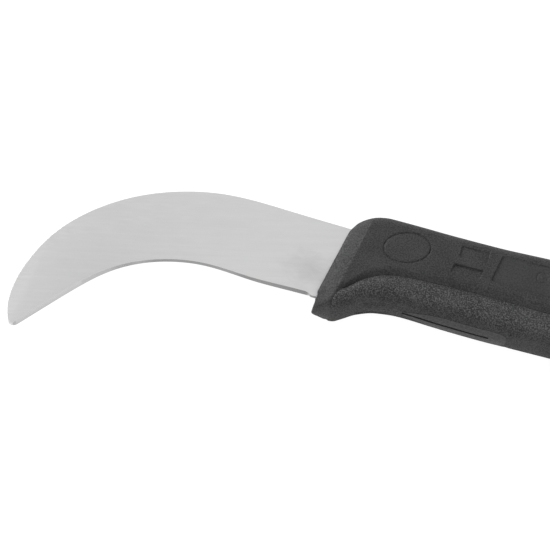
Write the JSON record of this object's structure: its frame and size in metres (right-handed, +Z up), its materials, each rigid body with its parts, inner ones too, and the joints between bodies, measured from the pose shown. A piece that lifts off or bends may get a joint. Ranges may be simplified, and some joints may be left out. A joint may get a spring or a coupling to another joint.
{
  "type": "hook knife",
  "caption": "Fixed-blade hook knife: sickle-shaped steel blade sharpened on its concave edge, moulded handle with flat sides, a nose guard and a grained lower grip.",
  "frame": {"origin": "centre of the underside of the bounding box, with the knife lying flat on its right side", "axes": "+X along the handle towards the butt, so the blade points to -X; +Y towards the back of the knife, so the cutting edge faces -Y; +Z up, through the thickness, with the blade's middle plane at Z = 9 mm"},
  "size_m": [0.207, 0.0596, 0.018],
  "materials": {
    "blade_steel": "satin, fine lines along the blade",
    "shell_plastic": "charcoal, fine eroded grain",
    "grip_plastic": "charcoal, coarse grain",
    "rivet_steel": "plain"
  },
  "bodies": {
    "root": {"blade": "blade_steel", "body_shell_left": "shell_plastic", "body_shell_right": "shell_plastic", "grip_saddle": "grip_plastic", "rivet_front": "rivet_steel", "rivet_middle": "rivet_steel", "rivet_rear": "rivet_steel"}
  },
  "joints": []
}
